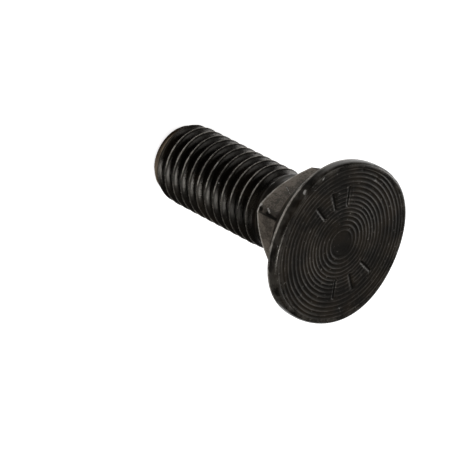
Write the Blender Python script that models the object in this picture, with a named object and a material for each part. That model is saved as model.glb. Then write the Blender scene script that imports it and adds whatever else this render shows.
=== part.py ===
# Plow bolt: round countersunk head with a flat face, square neck, rolled coarse thread.
#
# The bolt stands on its tail. The origin is the centre of the head's face, +Z points out of the
# face along the axis, the shank runs down -Z, and the neck's flats are square to X and Y.
# Lengths are in metres and angles in degrees.

import math

import bmesh
import bpy

MM = 0.001

# Overall
BOLT_LENGTH = 34.7 * MM
HEAD_DIAMETER = 24.3 * MM

# Head: a thin rim under the face, then the countersink cone
RIM_THICKNESS = 1.5 * MM
RIM_FRONT_ROUND = 0.65 * MM
RIM_BACK_ROUND = 0.25 * MM
COUNTERSINK_ANGLE = 90.0

# Forging left the rim a little out of round. Each length is how far it leaves the true circle.
RIM_OFFSET = 0.23 * MM
RIM_OFFSET_AZIMUTH = 62.0
RIM_OVALITY = 0.15 * MM
RIM_OVAL_AZIMUTH = 143.0
RIM_SQUARENESS = 0.19 * MM

# Square neck. Its corners taper a little towards their ends, and the depth and the reach are
# measured there, from the face and from the axis. The taper's angle is from the axis.
NECK_ACROSS_FLATS = 11.4 * MM
NECK_CORNER_RADIUS = 0.35 * MM
NECK_CORNER_END_REACH = 7.5 * MM
NECK_CORNER_TAPER_ANGLE = 15.0
NECK_CORNER_DEPTH = 10.05 * MM
NECK_END_SLOPE = 23.5

# Thread. The diameter is the nominal one, and rolling leaves the crests a little under it.
THREAD_DIAMETER = 12.0 * MM
CREST_SHORTFALL = 0.15 * MM
THREAD_PITCH = 1.75 * MM
THREAD_FLANK_ANGLE = 60.0
PLAIN_LENGTH = 0.5 * MM
RUN_OUT_LENGTH = 2.2 * MM
FIRST_CREST_HEIGHT = 0.3 * MM

# Tail: a flat end a little inside the thread's root, a small chamfer, then a long taper on which
# the first crests rise to their full height. The taper's angle is from the axis. The tail was
# turned a little off centre.
TAIL_FACE_UNDER_ROOT = 0.1 * MM
TAIL_CHAMFER = 0.3 * MM
TAIL_TAPER_ANGLE = 22.0
TAIL_OFFSET = 0.15 * MM
TAIL_OFFSET_AZIMUTH = 240.0

# Facets
HEAD_STEPS = 96
THREAD_STEPS = 40
FRONT_ROUND_STEPS = 4
BACK_ROUND_STEPS = 2
NECK_CORNER_STEPS = 5
SMOOTH_UNDER = 30.0

# How far a hidden end runs on inside its neighbour, and a cutter past what it cuts
OVERRUN = 1.0 * MM

# Black oxide on forged steel
FINISH_COLOUR = (0.022, 0.02, 0.018, 1.0)
FINISH_ROUGHNESS = 0.42
FINISH_METALLIC = 0.85


def tangent(degrees):
    return math.tan(math.radians(degrees))


def radial(angle, radius, z):
    """The point at this angle round the axis, in radians."""
    return (radius * math.cos(angle), radius * math.sin(angle), z)


def arc(centre, radius, start, end, steps):
    """Points along an arc in a plane, from one angle to another."""
    points = []
    for step in range(steps + 1):
        angle = math.radians(start + (end - start) * step / steps)
        points.append((centre[0] + radius * math.cos(angle), centre[1] + radius * math.sin(angle)))
    return points


def add_object(name, builder):
    """A new object at the origin, with its mesh from the bmesh and its faces turned outwards."""
    bmesh.ops.recalc_face_normals(builder, faces=builder.faces)
    mesh = bpy.data.meshes.new(name)
    builder.to_mesh(mesh)
    builder.free()
    mesh.shade_smooth()
    mesh.set_sharp_from_angle(angle=math.radians(SMOOTH_UNDER))
    made = bpy.data.objects.new(name, mesh)
    bpy.context.scene.collection.objects.link(made)
    return made


def turned(name, profile):
    """A closed body of revolution. The profile's (radius, z) points start and end on the axis."""
    builder = bmesh.new()
    angles = [2 * math.pi * step / HEAD_STEPS for step in range(HEAD_STEPS)]
    rings = [
        [builder.verts.new(radial(angle, radius, z)) for angle in angles]
        for radius, z in profile[1:-1]
    ]
    for first, second in zip(rings, rings[1:]):
        for i in range(HEAD_STEPS):
            j = (i + 1) % HEAD_STEPS
            builder.faces.new((first[i], first[j], second[j], second[i]))
    for ring, (_, end_z), (_, ring_z) in (
        (rings[0], profile[0], profile[1]),
        (rings[-1], profile[-1], profile[-2]),
    ):
        if end_z == ring_z:
            builder.faces.new(ring)
        else:
            close_round_a_point(builder, ring, end_z)
    return add_object(name, builder)


def close_round_a_point(builder, loop, z):
    """Closes a loop of vertices with triangles to a point on the axis."""
    tip = builder.verts.new((0, 0, z))
    for i in range(len(loop)):
        builder.faces.new((loop[i], loop[(i + 1) % len(loop)], tip))


def neck_corner_reach():
    """How far the neck's rounded corners stand from the axis, before they taper."""
    centre = NECK_ACROSS_FLATS / 2 - NECK_CORNER_RADIUS
    return centre * math.sqrt(2) + NECK_CORNER_RADIUS


def neck_end_z(radius):
    """The height of the neck's sloped end at this distance from the axis."""
    return -NECK_CORNER_DEPTH - (NECK_CORNER_END_REACH - radius) * tangent(NECK_END_SLOPE)


def sharp_thread_height():
    """The height of the thread's triangle before its crest and root are cut off."""
    return THREAD_PITCH / (2 * tangent(THREAD_FLANK_ANGLE / 2))


def root_radius():
    """The bottom of the rounded root, as a thread's standard form has it."""
    return THREAD_DIAMETER / 2 - sharp_thread_height() * 17 / 24


def body_radius():
    """The plain body, as thick as the blank that the thread is rolled on."""
    return THREAD_DIAMETER / 2 - sharp_thread_height() * 3 / 8


def shoulder_z():
    """The height at which the plain body leaves the neck's end."""
    return neck_end_z(body_radius())


def head():
    """Flat face, rounded rim and countersink cone. The cone's end is hidden in the neck."""
    rim = HEAD_DIAMETER / 2
    half_angle = COUNTERSINK_ANGLE / 2
    front_centre = (rim - RIM_FRONT_ROUND, -RIM_FRONT_ROUND)
    back_centre = (rim - RIM_BACK_ROUND, RIM_BACK_ROUND - RIM_THICKNESS)
    front = arc(front_centre, RIM_FRONT_ROUND, 90, 0, FRONT_ROUND_STEPS)
    back = arc(back_centre, RIM_BACK_ROUND, 0, -half_angle, BACK_ROUND_STEPS)
    cone_radius, cone_z = back[-1]
    end_radius = NECK_ACROSS_FLATS / 2 - OVERRUN
    end_z = cone_z - (cone_radius - end_radius) / tangent(half_angle)
    made = turned("plow_bolt", [(0, 0)] + front + back + [(end_radius, end_z), (0, end_z)])
    put_out_of_round(made.data)
    return made


def rim_growth(azimuth):
    """How far the rim stands out from its true circle at this azimuth, in radians."""
    offset = RIM_OFFSET * math.cos(azimuth - math.radians(RIM_OFFSET_AZIMUTH))
    ovality = RIM_OVALITY * math.cos(2 * (azimuth - math.radians(RIM_OVAL_AZIMUTH)))
    squareness = RIM_SQUARENESS * math.cos(4 * azimuth)
    return offset + ovality + squareness


def put_out_of_round(mesh):
    """Moves the rim in and out. The change fades down the cone and ends at the neck's corners."""
    rim = HEAD_DIAMETER / 2
    still = neck_corner_reach()
    for vertex in mesh.vertices:
        radius = math.hypot(vertex.co.x, vertex.co.y)
        share = (radius - still) / (rim - still)
        if share > 0:
            growth = share * rim_growth(math.atan2(vertex.co.y, vertex.co.x)) / radius
            vertex.co.x += growth * vertex.co.x
            vertex.co.y += growth * vertex.co.y


def square_neck():
    """A prism with rounded corners, from inside the head to past the neck's sloped end."""
    builder = bmesh.new()
    centre = NECK_ACROSS_FLATS / 2 - NECK_CORNER_RADIUS
    top = -OVERRUN
    bottom = shoulder_z() - OVERRUN
    outline = []
    for side, (x, y) in enumerate(((1, 1), (-1, 1), (-1, -1), (1, -1))):
        corner = (x * centre, y * centre)
        outline += arc(corner, NECK_CORNER_RADIUS, 90 * side, 90 * side + 90, NECK_CORNER_STEPS)
    base = builder.faces.new([builder.verts.new((x, y, top)) for x, y in outline])
    grown = bmesh.ops.extrude_face_region(builder, geom=[base])
    moved = [item for item in grown["geom"] if isinstance(item, bmesh.types.BMVert)]
    bmesh.ops.translate(builder, verts=moved, vec=(0, 0, bottom - top))
    return add_object("neck_blank", builder)


def neck_end_cutter():
    """Tapers the neck's corners and slopes its end, which leaves an arc across each flat's end."""
    end = NECK_CORNER_END_REACH
    reach = max(neck_corner_reach(), end) + OVERRUN
    floor = min(neck_end_z(0), -NECK_CORNER_DEPTH) - OVERRUN
    taper_z = -NECK_CORNER_DEPTH + (reach - end) / tangent(NECK_CORNER_TAPER_ANGLE)
    profile = [(0, floor), (reach, floor), (reach, taper_z)]
    profile += [(end, -NECK_CORNER_DEPTH), (0, neck_end_z(0))]
    return turned("neck_end_cutter", profile)


def thread_section():
    """One pitch of the thread's section as (height, radius), from a crest to the next root."""
    half_angle = THREAD_FLANK_ANGLE / 2
    crest = (THREAD_DIAMETER - CREST_SHORTFALL) / 2
    crest_half = THREAD_PITCH / 16 + CREST_SHORTFALL / 2 * tangent(half_angle)
    root = root_radius()
    root_round = sharp_thread_height() / 6
    foot = root + root_round * (1 - math.sin(math.radians(half_angle)))
    foot_half = root_round * math.cos(math.radians(half_angle))
    return [
        (-crest_half, crest),
        (crest_half, crest),
        (THREAD_PITCH / 2 - foot_half, foot),
        (THREAD_PITCH / 2, root),
        (THREAD_PITCH / 2 + foot_half, foot),
    ]


def run_out(z, radius):
    """Fades the thread into the plain body, which is left for a short length by the neck."""
    body = body_radius()
    share = (shoulder_z() - PLAIN_LENGTH - z) / RUN_OUT_LENGTH
    return body + (radius - body) * min(max(share, 0), 1)


def threaded_shank():
    """One pitch of the section wound up the axis, each turn joined to the one before."""
    builder = bmesh.new()
    section = thread_section()
    bottom = FIRST_CREST_HEIGHT - BOLT_LENGTH - 2 * THREAD_PITCH
    turns = math.ceil((shoulder_z() + OVERRUN - bottom) / THREAD_PITCH)
    count = turns * THREAD_STEPS
    columns = []
    for step in range(count + THREAD_STEPS + 1):
        angle = 2 * math.pi * step / THREAD_STEPS
        rise = bottom + THREAD_PITCH * step / THREAD_STEPS
        points = section if step <= count else section[:1]
        column = [
            builder.verts.new(radial(angle, run_out(rise + height, radius), rise + height))
            for height, radius in points
        ]
        columns.append(column)
    for step in range(count + 1):
        columns[step].append(columns[step + THREAD_STEPS][0])
    for first, second in zip(columns[:count], columns[1 : count + 1]):
        for k in range(len(section)):
            builder.faces.new((first[k], second[k], second[k + 1], first[k + 1]))
    for start in (0, count):
        turn = [columns[start + step][0] for step in range(THREAD_STEPS + 1)]
        middle = bottom + THREAD_PITCH * (start / THREAD_STEPS + 0.5)
        close_round_a_point(builder, turn + columns[start][-2:0:-1], middle)
    return add_object("shank_blank", builder)


def tail_cutter():
    """Cuts the bolt to length and turns the chamfer and the taper on its tail."""
    face = root_radius() - TAIL_FACE_UNDER_ROOT
    edge = face + TAIL_CHAMFER
    edge_z = -BOLT_LENGTH + TAIL_CHAMFER
    reach = THREAD_DIAMETER / 2 + OVERRUN
    taper_z = edge_z + (reach - edge) / tangent(TAIL_TAPER_ANGLE)
    floor = -BOLT_LENGTH - 3 * THREAD_PITCH
    profile = [(0, floor), (reach, floor), (reach, taper_z), (edge, edge_z)]
    profile += [(face, -BOLT_LENGTH), (0, -BOLT_LENGTH)]
    made = turned("tail_cutter", profile)
    made.location = radial(math.radians(TAIL_OFFSET_AZIMUTH), TAIL_OFFSET, 0)
    return made


def combine(target, other, operation):
    """Adds or cuts the other body, which then only shows as a wire guide."""
    modifier = target.modifiers.new(other.name, "BOOLEAN")
    modifier.operation = operation
    modifier.solver = "EXACT"
    modifier.object = other
    other.hide_render = True
    other.display_type = "WIRE"


def black_oxide():
    material = bpy.data.materials.new("black_oxide_steel")
    material.use_nodes = True
    shader = material.node_tree.nodes["Principled BSDF"]
    shader.inputs["Base Color"].default_value = FINISH_COLOUR
    shader.inputs["Roughness"].default_value = FINISH_ROUGHNESS
    shader.inputs["Metallic"].default_value = FINISH_METALLIC
    return material


def main():
    for old in list(bpy.data.objects):
        bpy.data.objects.remove(old)
    bolt = head()
    neck = square_neck()
    combine(neck, neck_end_cutter(), "DIFFERENCE")
    combine(bolt, neck, "UNION")
    combine(bolt, threaded_shank(), "UNION")
    combine(bolt, tail_cutter(), "DIFFERENCE")
    bolt.data.materials.append(black_oxide())


main()
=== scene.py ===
# Plow bolt in black oxide: fine surface, finish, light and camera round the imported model.
#
# Lengths are in metres and angles in degrees. The origin is the centre of the head's face, +Z
# points out of the face, and the bolt stands on its tail. Azimuth runs round the axis from +X
# towards +Y.

import math

import bmesh
import bpy
import numpy as np
from mathutils import Matrix, Vector, noise


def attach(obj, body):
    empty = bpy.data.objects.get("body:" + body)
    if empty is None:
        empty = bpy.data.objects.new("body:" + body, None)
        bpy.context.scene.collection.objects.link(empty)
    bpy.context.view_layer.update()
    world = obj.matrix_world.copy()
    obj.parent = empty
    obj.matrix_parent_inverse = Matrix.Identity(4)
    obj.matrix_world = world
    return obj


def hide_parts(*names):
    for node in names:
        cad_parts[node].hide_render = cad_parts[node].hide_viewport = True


MM = 0.001

# The model's own sizes
TAIL_Z = -34.7 * MM
RIM_RADIUS = 12.14 * MM
RIM_THICKNESS = 1.5 * MM
RIM_FRONT_ROUND = 0.65 * MM
RIM_BACK_ROUND = 0.25 * MM
RIM_OFFSET = 0.23 * MM
RIM_OFFSET_AZIMUTH = 62.0
RIM_OVALITY = 0.15 * MM
RIM_OVAL_AZIMUTH = 143.0
RIM_SQUARENESS = 0.19 * MM
NECK_HALF = 5.7 * MM
NECK_CORNER_RADIUS = 0.35 * MM
NECK_CORNER_END_REACH = 7.5 * MM
NECK_CORNER_TAPER_ANGLE = 15.0
NECK_CORNER_DEPTH = 10.05 * MM
NECK_END_SLOPE = 23.5
THREAD_RADIUS = 6.0 * MM
CREST_SHORTFALL = 0.075 * MM
CREST_RADIUS = THREAD_RADIUS - CREST_SHORTFALL
THREAD_PITCH = 1.75 * MM
FLANK_HALF_ANGLE = 30.0
PLAIN_LENGTH = 0.5 * MM
RUN_OUT_LENGTH = 2.2 * MM
FIRST_CREST_HEIGHT = 0.3 * MM
TAIL_FACE_UNDER_ROOT = 0.1 * MM
TAIL_CHAMFER = 0.3 * MM
TAIL_TAPER_ANGLE = 22.0
TAIL_OFFSET = 0.15 * MM
TAIL_OFFSET_AZIMUTH = 240.0

# The view of the photograph
IMAGE_SIDE = 458
SENSOR_WIDTH = 36.0
FOCAL_PIXELS = 2847.0
FACE_CENTRE_PIXEL = (342.58, 242.88)
CAMERA_DEPTH = 389.2 * MM
CAMERA_AZIMUTH = 36.62
CAMERA_ELEVATION = 42.33
CAMERA_ROLL = 118.03
NEAREST_SEEN = 0.01
FARTHEST_SEEN = 10.0


def tangent(degrees):
    return math.tan(math.radians(degrees))


def smoothstep(low, high, values):
    """Rises smoothly from 0 at low to 1 at high, for an array."""
    share = np.clip((values - low) / (high - low), 0.0, 1.0)
    return share * share * (3 - 2 * share)


class Field:
    """A value that varies over a surface: one output socket, with the usual operators."""

    def __init__(self, web, socket):
        self.web = web
        self.socket = socket

    def __add__(self, other):
        return self.web.maths("ADD", self, other)

    def __sub__(self, other):
        return self.web.maths("SUBTRACT", self, other)

    def __mul__(self, other):
        return self.web.maths("MULTIPLY", self, other)

    def __truediv__(self, other):
        return self.web.maths("DIVIDE", self, other)

    def __radd__(self, other):
        return self.web.maths("ADD", other, self)

    def __rsub__(self, other):
        return self.web.maths("SUBTRACT", other, self)

    def __rmul__(self, other):
        return self.web.maths("MULTIPLY", other, self)

    def __abs__(self):
        return self.web.maths("ABSOLUTE", self)


class Web:
    """Adds nodes to one node tree, of a material or of Geometry Nodes."""

    def __init__(self, tree):
        self.tree = tree

    def node(self, kind, settings=None, inputs=None):
        """A new node. Its settings come first, then the values or links of its sockets."""
        made = self.tree.nodes.new(kind)
        for name, value in (settings or {}).items():
            setattr(made, name, value)
        for key, value in (inputs or {}).items():
            if isinstance(value, Field):
                self.tree.links.new(value.socket, made.inputs[key])
            else:
                made.inputs[key].default_value = value
        return made

    def field(self, kind, settings=None, inputs=None, output=0):
        return Field(self, self.node(kind, settings, inputs).outputs[output])

    def maths(self, operation, *values):
        return self.field("ShaderNodeMath", {"operation": operation}, dict(enumerate(values)))

    def highest(self, *values):
        top = values[0]
        for value in values[1:]:
            top = self.maths("MAXIMUM", top, value)
        return top

    def limited(self, value, low=0.0, high=1.0):
        return self.maths("MINIMUM", self.maths("MAXIMUM", value, low), high)

    def ramp(self, value, low, high):
        """Rises smoothly from 0 at low to 1 at high. High may be the smaller of the two."""
        share = self.limited((value - low) / (high - low))
        return share * share * (3.0 - 2.0 * share)

    def grain(self, where, scale, detail, roughness=0.55):
        """Noise of about this many spots in a metre."""
        inputs = {"Vector": where, "Scale": scale, "Detail": detail, "Roughness": roughness}
        return self.field("ShaderNodeTexNoise", {}, inputs)

    def blend(self, share, first, second):
        """A colour between two colours. The Mix node takes them at its sockets 6 and 7."""
        made = self.node("ShaderNodeMix", {"data_type": "RGBA"}, {0: share, 6: first, 7: second})
        return Field(self, made.outputs[2])


# Rolled thread, made by Geometry Nodes

STRIP_STEPS = 128
SECTION_STEPS = 14
CREST_ROUND = 0.07 * MM
CREST_NARROWING = 0.06 * MM
ROOT_ROUND = 0.16 * MM
TAPER_ROUND = 0.06 * MM
JOIN_DISTANCE = 0.001 * MM
HIDDEN_LENGTH = 1.0 * MM
SPARE_TURNS = 3

# Small dents in the crests: where a crest begins above the root, and from which noise a dent shows
CREST_ABOVE_ROOT = 0.7 * MM
CREST_NICK_DEPTH = 0.1 * MM
CREST_NICK_SCALE = 260.0
CREST_NICK_LEVELS = (0.60, 0.72)

# The standard profile. The sharp thread's height follows from its pitch. The root lies 17/24 of it
# inside the nominal radius, the rolled shank 3/8 of it, and the crests' flat is pitch / 8 wide.
SHARP_HEIGHT = THREAD_PITCH / (2 * tangent(FLANK_HALF_ANGLE))
ROOT_RADIUS = THREAD_RADIUS - SHARP_HEIGHT * 17 / 24
BODY_RADIUS = THREAD_RADIUS - SHARP_HEIGHT * 3 / 8
STANDARD_CREST_HALF = THREAD_PITCH / 16


def neck_end_z(radius):
    """The height of the neck's sloping end at this radius."""
    return -NECK_CORNER_DEPTH - (NECK_CORNER_END_REACH - radius) * tangent(NECK_END_SLOPE)


def thread_inputs():
    """The thread tree's named inputs, with this bolt's sizes."""
    top = neck_end_z(BODY_RADIUS) + HIDDEN_LENGTH
    start = FIRST_CREST_HEIGHT + TAIL_Z - SPARE_TURNS * THREAD_PITCH
    turns = math.ceil((top + THREAD_PITCH - start) / THREAD_PITCH)
    crest_half = STANDARD_CREST_HALF + CREST_SHORTFALL * tangent(FLANK_HALF_ANGLE) - CREST_NARROWING
    return {
        "Turns": turns,
        "Steps per Turn": STRIP_STEPS,
        "Section Steps": SECTION_STEPS,
        "Pitch": THREAD_PITCH,
        "Crest Radius": CREST_RADIUS,
        "Crest Half Width": crest_half,
        "Flank Slope": 1 / tangent(FLANK_HALF_ANGLE),
        "Root Radius": ROOT_RADIUS,
        "Body Radius": BODY_RADIUS,
        "Start Height": start,
        "Tail Height": TAIL_Z,
        "Top Height": top,
        "Run Out Height": neck_end_z(BODY_RADIUS) - PLAIN_LENGTH,
        "Run Out Length": RUN_OUT_LENGTH,
        "Tail Face Radius": ROOT_RADIUS - TAIL_FACE_UNDER_ROOT,
        "Tail Chamfer": TAIL_CHAMFER,
        "Taper Slope": tangent(TAIL_TAPER_ANGLE),
        "Tail Offset": TAIL_OFFSET,
        "Tail Offset Angle": math.radians(TAIL_OFFSET_AZIMUTH),
    }


def thread_tree(sizes):
    """A strip one pitch wide, wound up the axis so that each turn meets the one before."""
    tree = bpy.data.node_groups.new("rolled_thread", "GeometryNodeTree")
    tree.interface.new_socket("Geometry", in_out="OUTPUT", socket_type="NodeSocketGeometry")
    for name, value in sizes.items():
        kind = "NodeSocketInt" if isinstance(value, int) else "NodeSocketFloat"
        tree.interface.new_socket(name, in_out="INPUT", socket_type=kind)
    tree.interface.new_socket("Finish", in_out="INPUT", socket_type="NodeSocketMaterial")
    web = Web(tree)
    given = web.node("NodeGroupInput")
    size = {name: Field(web, given.outputs[name]) for name in sizes}

    strip = {
        "Size X": size["Turns"],
        "Size Y": 1.0,
        "Vertices X": size["Turns"] * size["Steps per Turn"] + 1,
        "Vertices Y": size["Section Steps"] + 1,
    }
    grid = web.field("GeometryNodeMeshGrid", {}, strip)
    flat = web.node("ShaderNodeSeparateXYZ", {}, {0: web.field("GeometryNodeInputPosition")})
    turn = Field(web, flat.outputs["X"]) + size["Turns"] * 0.5
    share = Field(web, flat.outputs["Y"]) + 0.5
    spot = wound_spot(web, size, turn, share)

    wound = web.field("GeometryNodeSetPosition", {}, {"Geometry": grid, "Position": spot})
    near = {"Geometry": wound, "Distance": JOIN_DISTANCE}
    joined = web.field("GeometryNodeMergeByDistance", {}, near)
    real = web.field("GeometryNodeRealizeInstances", {}, {"Geometry": joined})
    finish = Field(web, given.outputs["Finish"])
    dressed = web.field("GeometryNodeSetMaterial", {}, {"Geometry": real, "Material": finish})
    web.node("NodeGroupOutput", {}, {0: dressed})
    return tree


def wound_spot(web, size, turn, share):
    """Where a point of the strip lies on the shank, from its turn and its share of the pitch."""
    angle = turn * (2 * math.pi)
    pitch = size["Pitch"]
    rise = size["Start Height"] + pitch * (turn + share)
    height = web.limited(rise, size["Tail Height"], size["Top Height"])

    from_crest = pitch * (0.5 - abs(share - 0.5))
    flank = size["Crest Radius"] - (from_crest - size["Crest Half Width"]) * size["Flank Slope"]
    radius = web.maths("SMOOTH_MIN", size["Crest Radius"], flank, CREST_ROUND)
    crest = web.ramp(radius, ROOT_RADIUS + CREST_ABOVE_ROOT, CREST_RADIUS)
    radius = web.maths("SMOOTH_MAX", radius, size["Root Radius"], ROOT_ROUND)

    run = web.limited((size["Run Out Height"] - height) / size["Run Out Length"])
    radius = size["Body Radius"] + (radius - size["Body Radius"]) * run
    radius = web.maths("SMOOTH_MIN", radius, tail_limit(web, size, height, angle), TAPER_ROUND)

    # Rows past either end of the shank draw in to the axis and close it
    beyond = abs(rise - height) / pitch
    radius = radius * (1.0 - web.limited(beyond))

    smooth = off_axis(web, angle, radius, height)
    dents = web.ramp(web.grain(smooth, CREST_NICK_SCALE, 2.0), *CREST_NICK_LEVELS)
    radius = radius - dents * crest * run * CREST_NICK_DEPTH * (1.0 - web.limited(beyond * 9))
    return off_axis(web, angle, radius, height)


def tail_limit(web, size, height, angle):
    """The largest radius that the tail's chamfer and taper leave at this height."""
    above = height - size["Tail Height"]
    chamfer = size["Tail Face Radius"] + above
    taper_start = size["Tail Face Radius"] + size["Tail Chamfer"]
    taper = taper_start + (above - size["Tail Chamfer"]) * size["Taper Slope"]
    drift = size["Tail Offset"] * web.maths("COSINE", angle - size["Tail Offset Angle"])
    return web.maths("SMOOTH_MIN", chamfer, taper, TAPER_ROUND) + drift


def off_axis(web, angle, radius, height):
    across = web.maths("COSINE", angle) * radius
    along = web.maths("SINE", angle) * radius
    return web.field("ShaderNodeCombineXYZ", {}, {"X": across, "Y": along, "Z": height})


def threaded_shank(finish):
    """The shank with its thread, closed inside the neck and across the tail."""
    sizes = thread_inputs()
    tree = thread_tree(sizes)
    carrier = bpy.data.objects.new("shank_strip", bpy.data.meshes.new("shank_strip"))
    bpy.context.scene.collection.objects.link(carrier)
    modifier = carrier.modifiers.new("rolled_thread", "NODES")
    modifier.node_group = tree
    for item in tree.interface.items_tree:
        if item.in_out == "INPUT":
            modifier[item.identifier] = finish if item.name == "Finish" else sizes[item.name]
    return as_mesh(carrier, "shank")


def as_mesh(made, name):
    """Turns an object with its modifiers into a plain mesh object, and removes the first one."""
    bpy.context.view_layer.update()
    graph = bpy.context.evaluated_depsgraph_get()
    mesh = bpy.data.meshes.new_from_object(made.evaluated_get(graph), depsgraph=graph)
    mesh.name = name
    plain = bpy.data.objects.new(name, mesh)
    bpy.context.scene.collection.objects.link(plain)
    bpy.data.objects.remove(made)
    builder = bmesh.new()
    builder.from_mesh(mesh)
    bmesh.ops.recalc_face_normals(builder, faces=builder.faces)
    builder.to_mesh(mesh)
    builder.free()
    return plain


# Head and neck, one profile for each azimuth

HEAD_COLUMNS = 320
CORNER_GATHERING = 0.45
FACE_ROUND_RADIUS = 10.35 * MM
FACE_ROWS = 132
LAND_ROWS = 12
NECK_FILLET = 0.35 * MM
NECK_EDGE_ROUND = 0.09 * MM
TAPER_LEAST_LENGTH = 0.3 * MM
STUB_RADIUS = 3.5 * MM
STRAIGHT_HALF_ANGLE = 89.5
ARC_SHARE_OF_EDGE = 0.45

# Turning marks on the face: one spiral, a little off centre, whose spacing swells and shrinks
RING_FIRST = 1.606 * MM
RING_SPACING = 0.628 * MM
RING_SWELL = 0.078 * MM
RING_SWELL_AT = 2.57 * MM
RING_SWELL_EVERY = 5.87 * MM
RING_CENTRE = (0.136 * MM, 0.040 * MM)
RING_HEIGHT = 0.062 * MM
RING_SHARPNESS = 2.6
RING_LAST = 11.8 * MM

# The marks fade in from the middle between these distances from the first one, in spacings
RING_FADE_IN = (-0.3, 0.9)

# Patches where the marks are worn lower
WORN_SPOT_SCALE = 0.2 / MM
WORN_SPOT_LEVELS = (0.05, 0.55)
RING_WEAR = 0.35

# Plain radial strokes pressed into the face
STROKE_AZIMUTHS = (246.0, 268.0, 290.0, 64.0, 90.0, 116.0)
STROKE_MIDDLE = 6.9 * MM
STROKE_HALF_LENGTH = 1.25 * MM
STROKE_HALF_WIDTH = 0.22 * MM
STROKE_DEPTH = 0.13 * MM

# A stroke's floor, its wall and the burr beside it, in half widths from its middle line
STROKE_FLOOR_TO = 0.4
STROKE_WALL_TO = 1.5
BURR_AT = 2.2
BURR_WIDTH = 0.7
BURR_SHARE_OF_DEPTH = 0.12

# Nicks: azimuth, distance from the axis, size and depth
NICKS = (
    (215.0, 9.9 * MM, 0.45 * MM, 0.12 * MM),
    (235.0, 10.7 * MM, 0.35 * MM, 0.09 * MM),
    (270.0, 9.5 * MM, 0.3 * MM, 0.07 * MM),
    (310.0, 6.9 * MM, 0.4 * MM, 0.07 * MM),
    (322.0, 10.7 * MM, 0.3 * MM, 0.08 * MM),
    (289.0, 11.7 * MM, 0.6 * MM, 0.12 * MM),
    (225.0, 11.9 * MM, 0.5 * MM, 0.14 * MM),
    (198.0, 12.0 * MM, 0.5 * MM, 0.1 * MM),
    (140.0, 11.6 * MM, 0.5 * MM, 0.07 * MM),
    (20.0, 11.3 * MM, 0.45 * MM, 0.06 * MM),
)

# A nick presses down on the face and inwards on the rim, and turns over between these heights
NICK_TURNS = (-0.1 * MM, -0.6 * MM)


def rim_growth(azimuth):
    """How far the rim leaves its true circle."""
    offset = RIM_OFFSET * np.cos(azimuth - math.radians(RIM_OFFSET_AZIMUTH))
    ovality = RIM_OVALITY * np.cos(2 * (azimuth - math.radians(RIM_OVAL_AZIMUTH)))
    return offset + ovality + RIM_SQUARENESS * np.cos(4 * azimuth)


def neck_radius(azimuth):
    """The rounded square's reach at this azimuth."""
    folded = np.abs((azimuth + math.pi / 4) % (math.pi / 2) - math.pi / 4)
    flat = NECK_HALF / np.cos(folded)
    centre = NECK_HALF - NECK_CORNER_RADIUS
    off = math.pi / 4 - folded
    reach = centre * math.sqrt(2)
    corner = reach * np.cos(off) + np.sqrt(
        np.maximum(NECK_CORNER_RADIUS**2 - (reach * np.sin(off)) ** 2, 0.0)
    )
    return np.where(NECK_HALF * np.tan(folded) < centre, flat, corner)


def rounded(corner, before, after, radius, steps):
    """Points of an arc that rounds a profile's corner."""
    corner, before, after = (np.array(point) for point in (corner, before, after))
    first = before - corner
    second = after - corner
    first_length = np.linalg.norm(first)
    second_length = np.linalg.norm(second)
    first = first / first_length
    second = second / second_length
    half = math.acos(np.clip(np.dot(first, second), -1.0, 1.0)) / 2
    if half > math.radians(STRAIGHT_HALF_ANGLE):
        points = []
        for share in np.linspace(-1.0, 1.0, steps + 1):
            points.append(tuple(corner + (second if share > 0 else -first) * share * radius))
        return points
    longest = (ARC_SHARE_OF_EDGE * first_length, ARC_SHARE_OF_EDGE * second_length)
    reach = min(radius / math.tan(half), *longest)
    used = reach * math.tan(half)
    towards = (first + second) / np.linalg.norm(first + second)
    centre = corner + towards * used / math.sin(half)
    start = corner + first * reach - centre
    end = corner + second * reach - centre
    whole = math.acos(np.clip(np.dot(start, end) / used**2, -1.0, 1.0))
    points = []
    for step in range(steps + 1):
        share = step / steps
        a = math.sin((1 - share) * whole) / math.sin(whole)
        b = math.sin(share * whole) / math.sin(whole)
        points.append(tuple(centre + a * start + b * end))
    return points


def side_profile(azimuth):
    """(radius, z) points from the land's edge round the rim, down the cone and the neck."""
    rim = RIM_RADIUS + float(rim_growth(np.array(azimuth)))
    neck = float(neck_radius(np.array(azimuth)))
    face = (rim - 2 * RIM_FRONT_ROUND, 0.0)
    front = (rim, 0.0)
    back = (rim, -RIM_THICKNESS)
    root = (neck, -RIM_THICKNESS - (RIM_RADIUS - neck))
    end = min(neck, NECK_CORNER_END_REACH)
    edge = (end, neck_end_z(end))
    taper_length = (neck - end) / tangent(NECK_CORNER_TAPER_ANGLE)
    taper = (neck, edge[1] + max(taper_length, TAPER_LEAST_LENGTH))
    shank = (BODY_RADIUS, neck_end_z(BODY_RADIUS))
    stub = (STUB_RADIUS, neck_end_z(STUB_RADIUS))

    # Each corner with its neighbours, its rounding, and the steps round it and on to the next one
    corners = (
        (front, face, back, RIM_FRONT_ROUND, 8, 2),
        (back, front, root, RIM_BACK_ROUND, 5, 8),
        (root, back, taper, NECK_FILLET, 5, 10),
        (taper, root, edge, NECK_EDGE_ROUND, 2, 6),
        (edge, taper, shank, NECK_EDGE_ROUND, 5, 6),
    )
    arcs = [rounded(*corner[:5]) for corner in corners]
    targets = [arc[0] for arc in arcs[1:]] + [stub]
    profile = []
    for arc, target, corner in zip(arcs, targets, corners):
        profile += arc
        straight = corner[5]
        for step in range(1, straight):
            share = step / straight
            profile.append(tuple((1 - share) * a + share * b for a, b in zip(arc[-1], target)))
    profile.append(stub)
    return np.array(profile)


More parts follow.
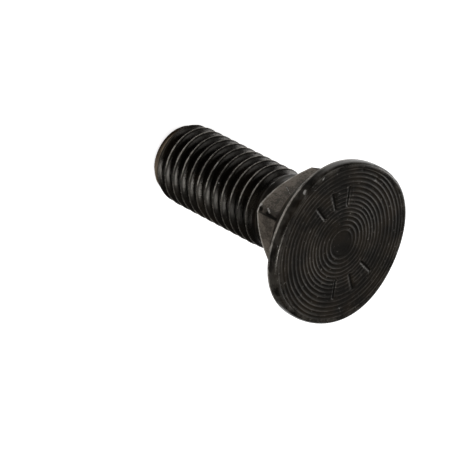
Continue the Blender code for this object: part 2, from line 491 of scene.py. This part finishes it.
def ring_relief(x, y):
    """The height of the turning marks, from 0 to 1. They wind outwards as the azimuth grows."""
    radius = np.hypot(x - RING_CENTRE[0], y - RING_CENTRE[1])
    azimuth = np.arctan2(y - RING_CENTRE[1], x - RING_CENTRE[0])
    swing = RING_SWELL_EVERY / (2 * math.pi) * RING_SWELL / RING_SPACING
    swell = np.sin(2 * math.pi * (radius - RING_SWELL_AT) / RING_SWELL_EVERY)
    phase = (radius - RING_FIRST) / RING_SPACING
    phase -= swing / RING_SPACING * swell
    wave = 0.5 + 0.5 * np.cos(2 * math.pi * phase - azimuth)
    fade_from, fade_to = (RING_FIRST + share * RING_SPACING for share in RING_FADE_IN)
    inside = smoothstep(fade_from, fade_to, radius)
    outside = 1 - smoothstep(RING_LAST - RING_SPACING, RING_LAST, radius)
    return wave**RING_SHARPNESS * inside * outside


def worn_share(x, y):
    """How far the rings are worn away, patch by patch."""
    spots = (Vector((a, b, 7.0)) * WORN_SPOT_SCALE for a, b in zip(x, y))
    patch = np.array([noise.fractal(spot, 0.6, 2.0, 3) for spot in spots])
    return smoothstep(*WORN_SPOT_LEVELS, patch)


def face_relief(x, y):
    """How far the face's points move along Z, from the turning marks and the strokes."""
    lift = RING_HEIGHT * (ring_relief(x, y) * (1 - RING_WEAR * worn_share(x, y)) - 1.0)
    for degrees in STROKE_AZIMUTHS:
        angle = math.radians(degrees)
        along = x * math.cos(angle) + y * math.sin(angle) - STROKE_MIDDLE
        across = -x * math.sin(angle) + y * math.cos(angle)
        past = np.hypot(np.maximum(np.abs(along) - STROKE_HALF_LENGTH, 0), across)
        floor_to = STROKE_FLOOR_TO * STROKE_HALF_WIDTH
        pressed = 1 - smoothstep(floor_to, STROKE_WALL_TO * STROKE_HALF_WIDTH, past)
        from_burr = past - BURR_AT * STROKE_HALF_WIDTH
        raised = np.exp(-((from_burr / (BURR_WIDTH * STROKE_HALF_WIDTH)) ** 2))
        lift += raised * BURR_SHARE_OF_DEPTH * STROKE_DEPTH
        lift = (1 - pressed) * lift - pressed * (RING_HEIGHT + STROKE_DEPTH)
    rim = RIM_RADIUS + rim_growth(np.arctan2(y, x))
    edge = smoothstep(rim - RIM_FRONT_ROUND, rim - 1.4 * RIM_FRONT_ROUND, np.hypot(x, y))
    return np.minimum(lift * edge, 0.0)


def gathered_azimuths():
    """Directions all round, closest together at the neck's four corners."""
    steps = HEAD_COLUMNS // 4
    swing = 2 * (np.arange(steps) + 0.5) / steps - 1
    spread = CORNER_GATHERING * swing + (1 - CORNER_GATHERING) * swing**3
    quarter = math.pi / 4 * (1 + spread)
    return np.concatenate([quarter + side * math.pi / 2 for side in range(4)])


def rings_of_points(azimuths):
    """The radii and heights of the rings of points, from the face's middle to the stub's end."""
    sides = np.array([side_profile(azimuth) for azimuth in azimuths])
    land = sides[:, 0, 0]
    level = np.zeros(HEAD_COLUMNS)
    rings = []
    for step in range(1, FACE_ROWS + 1):
        rings.append((np.full(HEAD_COLUMNS, FACE_ROUND_RADIUS * step / FACE_ROWS), level))
    for step in range(1, LAND_ROWS):
        share = step / LAND_ROWS
        rings.append(((1 - share) * FACE_ROUND_RADIUS + share * land, level))
    rings += [(sides[:, k, 0], sides[:, k, 1]) for k in range(sides.shape[1])]
    return np.array([ring[0] for ring in rings]), np.array([ring[1] for ring in rings])


def press_nicks(x, y, height, azimuths):
    """Moves the points at each nick."""
    for degrees, distance, size, depth in NICKS:
        angle = math.radians(degrees)
        away = (x - distance * math.cos(angle)) ** 2 + (y - distance * math.sin(angle)) ** 2
        dent = depth * np.exp(-away / (0.5 * size**2)) * (height > -RIM_THICKNESS)
        inwards = smoothstep(*NICK_TURNS, height)
        height -= dent * (1 - inwards)
        x -= dent * inwards * np.cos(azimuths)
        y -= dent * inwards * np.sin(azimuths)


def head_and_neck():
    """Face, rim, cone and square neck, closed inside the shank."""
    azimuths = gathered_azimuths()
    radius, height = rings_of_points(azimuths)
    x = radius * np.cos(azimuths)
    y = radius * np.sin(azimuths)
    flat = height == 0.0
    height[flat] += face_relief(x[flat], y[flat])
    press_nicks(x, y, height, azimuths)

    builder = bmesh.new()
    rings = []
    for row in range(len(radius)):
        rings.append([builder.verts.new(point) for point in zip(x[row], y[row], height[row])])
    for first, second in zip(rings, rings[1:]):
        for i in range(HEAD_COLUMNS):
            j = (i + 1) % HEAD_COLUMNS
            builder.faces.new((first[i], first[j], second[j], second[i]))
    for ring, z in ((rings[0], -RING_HEIGHT), (rings[-1], neck_end_z(STUB_RADIUS))):
        tip = builder.verts.new((0, 0, z))
        for i in range(HEAD_COLUMNS):
            builder.faces.new((ring[i], ring[(i + 1) % HEAD_COLUMNS], tip))
    bmesh.ops.recalc_face_normals(builder, faces=builder.faces)
    mesh = bpy.data.meshes.new("head_and_neck")
    builder.to_mesh(mesh)
    builder.free()
    made = bpy.data.objects.new("head_and_neck", mesh)
    bpy.context.scene.collection.objects.link(made)
    return made


# One forging

SHARP_ANGLE = 42.0
EDGE_CURVATURE = 7.0 / MM
LEAST_EDGE = 0.03 * MM


def one_forging(head, shank):
    """The head and the shank joined into one closed body."""
    modifier = head.modifiers.new("shank", "BOOLEAN")
    modifier.operation = "UNION"
    modifier.solver = "EXACT"
    modifier.object = shank
    forging = as_mesh(head, "plow_bolt_forging")
    bpy.data.objects.remove(shank)
    forging.data.shade_smooth()
    forging.data.set_sharp_from_angle(angle=math.radians(SHARP_ANGLE))
    mark_edges(forging.data)
    return forging


def mark_edges(mesh):
    """Stores how sharply the surface bulges at each point, from 0 to 1, as the attribute edge."""
    count = len(mesh.vertices)
    places = np.empty(count * 3)
    mesh.vertices.foreach_get("co", places)
    places = places.reshape(-1, 3)
    normals = np.empty(count * 3)
    mesh.vertex_normals.foreach_get("vector", normals)
    normals = normals.reshape(-1, 3)
    pairs = np.empty(len(mesh.edges) * 2, dtype=np.int32)
    mesh.edges.foreach_get("vertices", pairs)
    pairs = pairs.reshape(-1, 2)
    bulge = np.zeros(count)
    for first, second in ((0, 1), (1, 0)):
        here = pairs[:, first]
        gap = places[here] - places[pairs[:, second]]
        length = np.maximum(np.linalg.norm(gap, axis=1), LEAST_EDGE)
        np.maximum.at(bulge, here, 2 * np.sum(gap * normals[here], axis=1) / length**2)
    stored = mesh.attributes.new("edge", "FLOAT", "POINT")
    shares = np.clip(bulge / EDGE_CURVATURE, 0.0, 1.0)
    stored.data.foreach_set("value", shares.astype(np.float32))


# Black oxide finish, with painted highlights and painted shade

# The oxide's darkest colour, also laid on as painted shade in dents, strokes and the facet's shadow
# line
DARK_OXIDE_AND_SHADE = (0.0040, 0.0036, 0.0030, 1.0)
OXIDE_BROWN = (0.0155, 0.0118, 0.0080, 1.0)
FACE_BROWN = (0.022, 0.0155, 0.0090, 1.0)
NECK_SCALE = (0.126, 0.105, 0.083, 1.0)
NECK_SCALE_DARK = (0.036, 0.029, 0.022, 1.0)
RIM_GREY = (0.046, 0.042, 0.036, 1.0)
WORN_STEEL = (0.27, 0.25, 0.22, 1.0)
# The light lines' colour: painted highlights, with some worn steel in them
HIGHLIGHT_AND_WORN_LINE = (0.36, 0.335, 0.30, 1.0)
BARE_STEEL = (0.36, 0.35, 0.33, 1.0)
TAIL_BROWN = (0.075, 0.050, 0.032, 1.0)
TAIL_PALE = (0.33, 0.26, 0.19, 1.0)

# How much of each colour shows at most
FACE_BROWN_SHARE = 0.36
RIM_GREY_SHARE = 0.8
FACET_BROWN_SHARE = 0.55
WORN_STEEL_SHARE = 0.8
DARK_MARK_SHARE = 0.9
TAIL_BROWN_SHARE = 0.6
FLECK_SHARE = 0.35
LAND_LINE_SHARE = 0.08

# Gloss: of plain oxide, then how much smoother or rougher each form is
SPECULAR_LEVEL = 0.35
SPECULAR_TINT = (1.0, 0.94, 0.86, 1.0)
OXIDE_ROUGHNESS = 0.42
THREAD_SMOOTHER = 0.18
FACE_SMOOTHER = 0.08
RIM_SMOOTHER = 0.10
NECK_ROUGHER = 0.10
WEAR_ROUGHER = 0.08
FINE_ROUGHNESS = 0.12
SPECK_ROUGHNESS = 0.16
ROUGHNESS_LIMITS = (0.15, 0.8)
WEAR_METALLIC = 0.3
DARK_MARK_METALLIC = 0.5

# Bump: each noise's share everywhere, and how much more of it there is on some forms
BUMP_STRENGTH = 0.4
BUMP_DISTANCE = 0.03 * MM
FINE_BUMP = 0.35
FINE_BUMP_ON_THREAD = 1.3
SPECK_BUMP = 0.4
SPECK_BUMP_ON_THREAD = 0.3
SPECK_BUMP_ON_NECK = 0.6
TOOLING_BUMP = 0.45
TOOLING_BUMP_ON_FACE = 0.95

# Wear of sharp edges: the most of it, how much less there is on some forms, and its least share
EDGE_WEAR = 0.7
EDGE_WEAR_LESS_ON_CRESTS = 0.45
EDGE_WEAR_LESS_ON_FACE = 0.2
LEAST_EDGE_WEAR = 0.35

# Light lines, painted highlights with some wear in them: how bright each is, and how faint wear
# makes them
CREST_LINE_GAIN = 1.7
END_LINE_GAIN = 1.6
BRIGHT_SIDE_GAIN = 0.2
FAINT_LINE = 0.2
LINE_CONTRAST = 0.6
LEAST_CREST_LINE = 0.45
GLOSS_HIDES_LINE = 0.85

# How much each thing adds to the noise that makes the neck's scale pale
SPECK_PALENESS = 0.5
FINE_PALENESS = 0.9
END_PALENESS = 0.16

# How much the specks add to the clouds in grime, and in the wear of the tail's band
SPECK_IN_GRIME = 0.5
SPECK_IN_TAIL_WEAR = 0.4

# Noises, in spots per metre, from coarse to fine
CREST_WEAR_SCALE = 150.0
CLOUD_SCALE = 260.0
PATCH_SCALE = 520.0
SPECK_SCALE = 1900.0
FINE_SCALE = 5200.0

# Tool marks change fast along the radius and slowly round the axis
TOOLING_SCALE = 7000.0
TOOLING_STRETCH = 0.04

# Where each noise, or sum of noises, starts to show, and where it shows in full
OXIDE_LEVELS = (0.35, 0.75)
FACE_BROWN_LEVELS = (0.42, 0.62)
PALE_SCALE_LEVELS = (0.40, 0.72)
RIM_GREY_LEVELS = (0.40, 0.65)
GRIME_LEVELS = (0.55, 0.95)
FLECK_LEVELS = (0.64, 0.72)
LINE_WEAR_LEVELS = (0.80, 1.20)
CREST_WEAR_LEVELS = (0.35, 0.60)
TAIL_WEAR_LEVELS = (0.40, 0.80)
FACET_LINE_LEVELS = (0.7, 1.1)
SCRATCH_LEVELS = (0.35, 0.65)

# The same for the attribute edge
WORN_EDGE_LEVELS = (0.28, 0.80)

# Where each form starts to count along the axis, and where it counts in full
FACE_HEIGHTS = (-0.3 * MM, -0.1 * MM)
LAND_HEIGHTS = (-0.07 * MM, -0.02 * MM)
NECK_TOP_HEIGHTS = (-5.9 * MM, -6.6 * MM)
NECK_END_HEIGHTS = (-11.1 * MM, -10.75 * MM)
THREAD_HEIGHTS = (-12.0 * MM, -13.5 * MM)
CREST_LINE_HEIGHTS = (-11.2 * MM, -14.6 * MM)
FULL_CREST_HEIGHTS = (-12.9 * MM, -14.0 * MM)
TAIL_HEIGHTS = (TAIL_Z + 1.8 * MM, TAIL_Z + 0.9 * MM)
TAIL_BAND_TOP = (TAIL_Z + 1.15 * MM, TAIL_Z + 0.95 * MM)
TAIL_BAND_END = (TAIL_Z + 0.50 * MM, TAIL_Z + 0.65 * MM)

# The same, in distance from the axis
NECK_RADII = (BODY_RADIUS + 0.12 * MM, BODY_RADIUS + 0.26 * MM)
CORNER_RADII = (7.1 * MM, 7.4 * MM)
BROWN_RADII = (1.6 * MM, 3.2 * MM)
LAND_LINE_RADII = (RIM_RADIUS - 1.15 * MM, RIM_RADIUS - 0.9 * MM)
RIM_LINE_RADII = (RIM_RADIUS - 1.1 * MM, RIM_RADIUS - 0.8 * MM)
RIM_RADII = (RIM_RADIUS - 1.0 * MM, RIM_RADIUS - 0.6 * MM)
CREST_LINE_RADII = (CREST_RADIUS - 0.08 * MM, CREST_RADIUS - 0.02 * MM)

# The same, in distance above the neck's sloping end, and from the rim's back edge
END_LINE_REACH = (0.34 * MM, 0.15 * MM)
PALE_END_REACH = (2.2 * MM, 0.4 * MM)
RIM_LINE_REACH = (0.40 * MM, 0.20 * MM)

# The worn facet on each of the neck's corners, and the shadow line on its one side
FACET_REACH = (0.62 * MM, 0.496 * MM)
FACET_LINE_AT = 0.5 * MM
FACET_LINE_REACH = (0.192 * MM, 0.072 * MM)

# The end's light line, a painted highlight, is a little brighter on this side of each corner
BRIGHT_SIDE = (0.2 * MM, 0.6 * MM)

# The crests' line, a painted highlight, is faint on this side, where the flanks shine
GLOSSY_AZIMUTH = 355.0
GLOSSY_COSINES = (0.84, 0.96)

# Scratches down to bare steel: where each starts and ends in millimetres, and its half width
SCRATCHES = (
    ((5.03, -5.70, -8.29), (5.50, -5.65, -7.40), 0.13),
    ((5.12, -5.48, -10.03), (5.02, -5.60, -9.90), 0.38),
    ((3.92, -11.40, -0.40), (4.16, -11.20, -0.28), 0.20),
    ((0.60, -11.60, -0.05), (0.90, -11.46, -0.02), 0.12),
    ((2.86, -10.94, 0.00), (2.04, -10.33, 0.00), 0.05),
    ((10.36, -6.25, -0.36), (10.52, -5.61, -0.12), 0.05),
    ((0.22, -5.70, -9.73), (1.18, -5.70, -7.72), 0.028),
    ((2.77, -5.23, -22.32), (1.87, -5.57, -22.45), 0.10),
    ((2.60, -5.30, -25.99), (2.72, -5.26, -25.95), 0.08),
    ((3.87, -4.18, -20.40), (3.93, -4.15, -20.33), 0.10),
    ((1.05, -5.45, -12.30), (0.40, -5.58, -12.09), 0.07),
    ((-2.75, -4.95, -12.30), (-2.45, -5.10, -12.28), 0.06),
    ((3.02, 9.20, 0.00), (2.90, 10.52, 0.00), 0.05),
    ((-7.44, -5.88, 0.00), (-8.06, -5.68, 0.00), 0.08),
    ((-1.70, -11.40, -0.02), (-1.63, -9.92, 0.00), 0.04),
    ((4.70, -5.18, 0.00), (4.90, -5.10, 0.00), 0.07),
)

# Painted shade in dents by the neck's corner, given the same way
DARK_MARKS = (
    ((5.40, -5.44, -9.62), (5.48, -5.42, -9.15), 0.36),
    ((5.70, -5.40, -7.80), (5.70, -5.15, -5.95), 0.34),
)

# A mark fades in between these distances from its middle line, in half widths
MARK_FADE = (1.3, 0.5)

# The strokes' line of painted shade, in millimetres and in half widths of a stroke
STROKE_LINE_Z = -0.15
STROKE_LINE_WIDTH = 0.9


def stroke_marks():
    """The strokes on the face, with painted shade at the bottom."""
    marks = []
    for degrees in STROKE_AZIMUTHS:
        angle = math.radians(degrees)
        ends = []
        for side in (-1, 1):
            reach = (STROKE_MIDDLE + side * STROKE_HALF_LENGTH) / MM
            ends.append((reach * math.cos(angle), reach * math.sin(angle), STROKE_LINE_Z))
        marks.append((*ends, STROKE_LINE_WIDTH * STROKE_HALF_WIDTH / MM))
    return tuple(marks)


def mark(web, place, start, end, half_width):
    """1 on the line between two points, given in millimetres, and 0 away from it."""
    first = Vector(start) * MM
    span = Vector(end) * MM - first
    gap = web.field("ShaderNodeVectorMath", {"operation": "SUBTRACT"}, {0: place, 1: first})
    dot = {"operation": "DOT_PRODUCT"}
    share = web.field("ShaderNodeVectorMath", dot, {0: gap, 1: span}, "Value")
    along = web.limited(share / span.length_squared)
    run = web.field("ShaderNodeVectorMath", {"operation": "SCALE"}, {0: span, "Scale": along})
    off = web.field("ShaderNodeVectorMath", {"operation": "DISTANCE"}, {0: gap, 1: run}, "Value")
    fade_from, fade_to = (share * half_width * MM for share in MARK_FADE)
    return web.ramp(off, fade_from, fade_to)


class Skin:
    """The bolt's surface as the finish reads it: place, noises, and the forms from 0 to 1."""

    def __init__(self, web):
        self.web = web
        self.place = web.field("ShaderNodeTexCoord", {}, {}, "Object")
        parts = web.node("ShaderNodeSeparateXYZ", {}, {0: self.place})
        self.x, self.y, self.z = (Field(web, parts.outputs[name]) for name in "XYZ")
        self.radius = web.maths("SQRT", self.x * self.x + self.y * self.y)
        self.from_corner = (abs(self.x) - abs(self.y)) * math.sqrt(0.5)
        end_drop = (NECK_CORNER_END_REACH - self.radius) * tangent(NECK_END_SLOPE)
        self.above_end = self.z + NECK_CORNER_DEPTH + end_drop

        self.cloud = web.grain(self.place, CLOUD_SCALE, 4.0)
        self.patches = web.grain(self.place, PATCH_SCALE, 5.0, 0.7)
        self.speck = web.grain(self.place, SPECK_SCALE, 3.0, 0.6)
        self.fine = web.grain(self.place, FINE_SCALE, 2.0)
        round_axis = {
            "X": self.radius,
            "Y": self.x * TOOLING_STRETCH,
            "Z": self.y * TOOLING_STRETCH,
        }
        turned = web.field("ShaderNodeCombineXYZ", {}, round_axis)
        self.tooling = web.grain(turned, TOOLING_SCALE, 2.0)
        self.grime = web.ramp(self.cloud + self.speck * SPECK_IN_GRIME, *GRIME_LEVELS)

        self.face = web.ramp(self.z, *FACE_HEIGHTS)
        self.rim = web.ramp(self.radius, *RIM_RADII)
        self.thread = web.ramp(self.z, *THREAD_HEIGHTS)
        along_neck = web.ramp(self.z, *NECK_TOP_HEIGHTS) * web.ramp(self.z, *NECK_END_HEIGHTS)
        self.neck = along_neck * web.ramp(self.radius, *NECK_RADII)
        self.corner = self.neck * web.ramp(self.radius, *CORNER_RADII)
        self.wear = self.worn_edges()
        # Painted shade in the dents by the neck's corner and on the strokes' floors
        self.shade_in_marks = self.marks(DARK_MARKS + stroke_marks())

    def worn_edges(self):
        """Sharp edges rubbed through to steel, less so on full crests and on the face."""
        full_crest = self.web.ramp(self.z, *FULL_CREST_HEIGHTS)
        amount = EDGE_WEAR - full_crest * EDGE_WEAR_LESS_ON_CRESTS
        amount = amount - self.face * EDGE_WEAR_LESS_ON_FACE
        dirty = LEAST_EDGE_WEAR + self.grime * (1 - LEAST_EDGE_WEAR)
        edge = self.web.field("ShaderNodeAttribute", {"attribute_name": "edge"}, {}, "Fac")
        return self.web.ramp(edge, *WORN_EDGE_LEVELS) * dirty * amount

    def marks(self, table):
        return self.web.highest(*(mark(self.web, self.place, *row) for row in table))

    def broken(self, line, noise, levels):
        """A line as wear leaves it, strong in some stretches and faint in others."""
        return line * (FAINT_LINE + self.web.ramp(noise, *levels) * LINE_CONTRAST)

    def crest_line(self):
        """A light line along the thread's crests: a painted highlight with some wear in it, broken
        by wear.
        """
        web = self.web
        line = web.ramp(self.z, *CREST_LINE_HEIGHTS) * web.ramp(self.radius, *CREST_LINE_RADII)
        angle = math.radians(GLOSSY_AZIMUTH)
        towards_gloss = (self.x * math.cos(angle) + self.y * math.sin(angle)) / self.radius
        line = line * (1.0 - web.ramp(towards_gloss, *GLOSSY_COSINES) * GLOSS_HIDES_LINE)
        worn = web.ramp(web.grain(self.place, CREST_WEAR_SCALE, 1.0), *CREST_WEAR_LEVELS)
        return line * (LEAST_CREST_LINE + worn * (1 - LEAST_CREST_LINE))

    def highlight_and_wear_lines(self):
        """Light lines on the crests, the neck's end, the rim and the face's edge, with flecks:
        painted highlights with some wear.
        """
        web = self.web
        end_line = self.neck * web.ramp(self.above_end, *END_LINE_REACH)
        # Painted highlight: the end's line is brighter on this side of each corner
        bright_side = web.ramp(self.from_corner, *BRIGHT_SIDE) * BRIGHT_SIDE_GAIN
        end_line = end_line * (END_LINE_GAIN + bright_side)
        rim_line = web.ramp(self.radius, *RIM_LINE_RADII)
        rim_line = rim_line * web.ramp(abs(self.z + RIM_THICKNESS), *RIM_LINE_REACH)
        land_line = web.ramp(self.radius, *LAND_LINE_RADII)
        land_line = land_line * web.ramp(self.z, *LAND_HEIGHTS) * self.grime * LAND_LINE_SHARE
        flecks = self.face * web.ramp(self.speck, *FLECK_LEVELS) * FLECK_SHARE
        edges = web.highest(self.crest_line() * CREST_LINE_GAIN, end_line, rim_line)
        edges = self.broken(edges, self.cloud + self.speck, LINE_WEAR_LEVELS)
        return web.limited(web.highest(edges, land_line, flecks))

    def tail_band(self):
        """A pale band round the tail's taper."""
        web = self.web
        band = web.ramp(self.z, *TAIL_BAND_TOP) * web.ramp(self.z, *TAIL_BAND_END)
        noise_here = self.cloud + self.speck * SPECK_IN_TAIL_WEAR
        return self.broken(band, noise_here, TAIL_WEAR_LEVELS)

    def neck_colour(self):
        """Mottled forging scale, paler towards the neck's end."""
        web = self.web
        pale = self.patches + (self.speck - 0.5) * SPECK_PALENESS
        pale = pale + (self.fine - 0.5) * FINE_PALENESS
        pale = pale + web.ramp(self.above_end, *PALE_END_REACH) * END_PALENESS
        return web.blend(web.ramp(pale, *PALE_SCALE_LEVELS), NECK_SCALE_DARK, NECK_SCALE)

    def colour(self):
        """The oxide's colour with all that lies over it, laid on one after another."""
        web = self.web
        face_brown = self.face * web.ramp(self.cloud, *FACE_BROWN_LEVELS)
        face_brown = face_brown * web.ramp(self.radius, *BROWN_RADII)
        rim_grey = self.rim * web.ramp(self.patches, *RIM_GREY_LEVELS)
        beside = abs(self.from_corner)
        facet = self.corner * web.ramp(beside, *FACET_REACH)
        from_line = abs(self.from_corner - FACET_LINE_AT)
        facet_line = self.corner * web.ramp(from_line, *FACET_LINE_REACH)
        facet_line = facet_line * web.ramp(self.speck + self.cloud, *FACET_LINE_LEVELS)
        tail = web.ramp(self.z, *TAIL_HEIGHTS)
        bare = self.marks(SCRATCHES) * web.ramp(self.speck, *SCRATCH_LEVELS)
        colour = web.blend(web.ramp(self.cloud, *OXIDE_LEVELS), DARK_OXIDE_AND_SHADE, OXIDE_BROWN)
        for share, laid in (
            (face_brown * FACE_BROWN_SHARE, FACE_BROWN),
            (self.neck, self.neck_colour()),
            (rim_grey * RIM_GREY_SHARE, RIM_GREY),
            (facet * FACET_BROWN_SHARE, OXIDE_BROWN),
            (self.wear * WORN_STEEL_SHARE, WORN_STEEL),
            # Painted shadow line in the crease beside each facet
            (facet_line, DARK_OXIDE_AND_SHADE),
            # Painted shade in the dents and the strokes
            (self.shade_in_marks * DARK_MARK_SHARE, DARK_OXIDE_AND_SHADE),
            (tail * TAIL_BROWN_SHARE, TAIL_BROWN),
            (self.tail_band(), TAIL_PALE),
            # Painted highlights, with some wear, along the crests and edges
            (self.highlight_and_wear_lines(), HIGHLIGHT_AND_WORN_LINE),
            (bare, BARE_STEEL),
        ):
            colour = web.blend(share, colour, laid)
        return colour

    def roughness(self):
        """The thread shines most, the neck's scale least."""
        smoother = self.thread * THREAD_SMOOTHER + self.face * FACE_SMOOTHER
        smoother = smoother + self.rim * RIM_SMOOTHER
        rougher = self.neck * NECK_ROUGHER + self.wear * WEAR_ROUGHER
        uneven = (self.fine - 0.5) * FINE_ROUGHNESS + (self.speck - 0.5) * SPECK_ROUGHNESS
        roughness = OXIDE_ROUGHNESS - smoother + rougher + uneven
        return self.web.limited(roughness, *ROUGHNESS_LIMITS)

    def bump(self):
        """Grain everywhere, most on the thread, specks on the neck and tool marks on the face."""
        specks = SPECK_BUMP + self.thread * SPECK_BUMP_ON_THREAD + self.neck * SPECK_BUMP_ON_NECK
        grit = self.fine * (FINE_BUMP + self.thread * FINE_BUMP_ON_THREAD)
        grit = grit + self.speck * specks
        grit = grit + self.tooling * (TOOLING_BUMP + self.face * TOOLING_BUMP_ON_FACE)
        inputs = {"Strength": BUMP_STRENGTH, "Distance": BUMP_DISTANCE, "Height": grit}
        return self.web.field("ShaderNodeBump", {}, inputs)

    def metallic(self):
        # Metallic on the painted shade takes its gloss away, so the dents and strokes stay dark
        metallic = self.wear * WEAR_METALLIC + self.shade_in_marks * DARK_MARK_METALLIC
        return self.web.limited(metallic)


def black_oxide():
    material = bpy.data.materials.new("black_oxide_steel")
    material.use_nodes = True
    shader = material.node_tree.nodes["Principled BSDF"]
    skin = Skin(Web(material.node_tree))
    for name, value in (
        ("Base Color", skin.colour()),
        ("Roughness", skin.roughness()),
        ("Metallic", skin.metallic()),
        ("Normal", skin.bump()),
    ):
        material.node_tree.links.new(value.socket, shader.inputs[name])
    shader.inputs["Specular IOR Level"].default_value = SPECULAR_LEVEL
    shader.inputs["Specular Tint"].default_value = SPECULAR_TINT
    return material


# Floor, light and camera

FLOOR_SIDE = 3.0
FLOOR_COLOUR = (0.9, 0.9, 0.9, 1.0)
FLOOR_ROUGHNESS = 0.8
FLOOR_GLOW = 0.95
FLOOR_SPLIT = 9.0 * MM
FAR_FLOOR_AZIMUTH = 155.0
WORLD_COLOUR = (1.0, 0.97, 0.93, 1.0)
WORLD_STRENGTH = 0.045

# Soft boxes: name, direction from the bolt, side and radiance
SOFT_BOX_DISTANCE = 0.6
SOFT_BOXES = (
    ("front_box", (0.37, 0.10, 0.92), 0.18, 12.6),
    ("low_box", (0.76, 0.03, 0.65), 0.22, 1.7),
    ("side_box", (-0.83, 0.44, 0.36), 0.34, 0.8),
    ("edge_box", (-0.90, 0.28, 0.30), 0.24, 3.6),
    ("broad_box", (-0.50, -0.20, 0.84), 0.28, 1.5),
    ("face_box", (-0.441, 0.593, 0.673), 0.45, 0.04),
)


def pale_floor():
    """Glowing white ground in two parts.

    Only the far part shows in reflections, as if the near one lay in shade.
    """
    material = bpy.data.materials.new("pale_floor")
    material.use_nodes = True
    shader = material.node_tree.nodes["Principled BSDF"]
    shader.inputs["Base Color"].default_value = FLOOR_COLOUR
    shader.inputs["Roughness"].default_value = FLOOR_ROUGHNESS
    shader.inputs["Emission Color"].default_value = FLOOR_COLOUR
    shader.inputs["Emission Strength"].default_value = FLOOR_GLOW
    turn = Matrix.Rotation(math.radians(FAR_FLOOR_AZIMUTH - 90), 3, "Z")
    half = FLOOR_SIDE / 2
    for name, near, far, glossy in (
        ("near_floor", -half, FLOOR_SPLIT, False),
        ("far_floor", FLOOR_SPLIT, half, True),
    ):
        corners = ((-half, near), (half, near), (half, far), (-half, far))
        points = [turn @ Vector((across, away, TAIL_Z)) for across, away in corners]
        mesh = bpy.data.meshes.new(name)
        mesh.from_pydata(points, [], [(0, 1, 2, 3)])
        mesh.materials.append(material)
        floor = bpy.data.objects.new(name, mesh)
        floor.visible_glossy = glossy
        bpy.context.scene.collection.objects.link(floor)


def studio_light():
    """A dim warm world and the soft boxes, which face the bolt's middle."""
    world = bpy.data.worlds.new("studio")
    world.use_nodes = True
    background = world.node_tree.nodes["Background"]
    background.inputs["Color"].default_value = WORLD_COLOUR
    background.inputs["Strength"].default_value = WORLD_STRENGTH
    bpy.context.scene.world = world
    middle = Vector((0, 0, TAIL_Z / 2))
    for name, direction, side, radiance in SOFT_BOXES:
        light = bpy.data.lights.new(name, "AREA")
        light.shape = "SQUARE"
        light.size = side
        light.energy = radiance * math.pi * side**2
        towards = Vector(direction).normalized()
        facing = towards.to_track_quat("Z", "Y").to_matrix().to_4x4()
        lamp = bpy.data.objects.new(name, light)
        lamp.matrix_world = Matrix.Translation(towards * SOFT_BOX_DISTANCE + middle) @ facing
        bpy.context.scene.collection.objects.link(lamp)


def photo_camera():
    """Stands where the photograph was taken, from the bolt's own frame."""
    azimuth = math.radians(CAMERA_AZIMUTH)
    elevation = math.radians(CAMERA_ELEVATION)
    back = Vector((
        math.sin(azimuth) * math.cos(elevation),
        -math.cos(azimuth) * math.cos(elevation),
        math.sin(elevation),
    ))
    level = Vector((0, 0, 1)).cross(back).normalized()
    upward = back.cross(level)
    roll = math.radians(CAMERA_ROLL)
    right = level * math.cos(roll) + upward * math.sin(roll)
    up = back.cross(right)
    offset = [
        (pixel - IMAGE_SIDE / 2) / FOCAL_PIXELS * CAMERA_DEPTH for pixel in FACE_CENTRE_PIXEL
    ]
    location = back * CAMERA_DEPTH - right * offset[0] + up * offset[1]
    facing = Matrix((right, up, back)).transposed().to_4x4()
    camera = bpy.data.objects.new("camera", bpy.data.cameras.new("camera"))
    bpy.context.scene.collection.objects.link(camera)
    camera.matrix_world = Matrix.Translation(location) @ facing
    camera.data.sensor_width = SENSOR_WIDTH
    camera.data.lens = FOCAL_PIXELS * SENSOR_WIDTH / IMAGE_SIDE
    camera.data.clip_start = NEAREST_SEEN
    camera.data.clip_end = FARTHEST_SEEN
    bpy.context.scene.camera = camera


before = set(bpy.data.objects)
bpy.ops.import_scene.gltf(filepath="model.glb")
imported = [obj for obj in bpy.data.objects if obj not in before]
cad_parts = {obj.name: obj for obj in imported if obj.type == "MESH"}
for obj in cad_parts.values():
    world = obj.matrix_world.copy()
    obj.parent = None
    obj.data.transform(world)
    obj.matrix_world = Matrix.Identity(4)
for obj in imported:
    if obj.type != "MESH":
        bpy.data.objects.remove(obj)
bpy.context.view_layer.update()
bpy.context.scene.view_settings.view_transform = "Standard"
photo_camera()
studio_light()
pale_floor()

finish = black_oxide()
forging = one_forging(head_and_neck(), threaded_shank(finish))
forging.data.materials.clear()
forging.data.materials.append(finish)
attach(forging, "root")
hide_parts("plow_bolt")
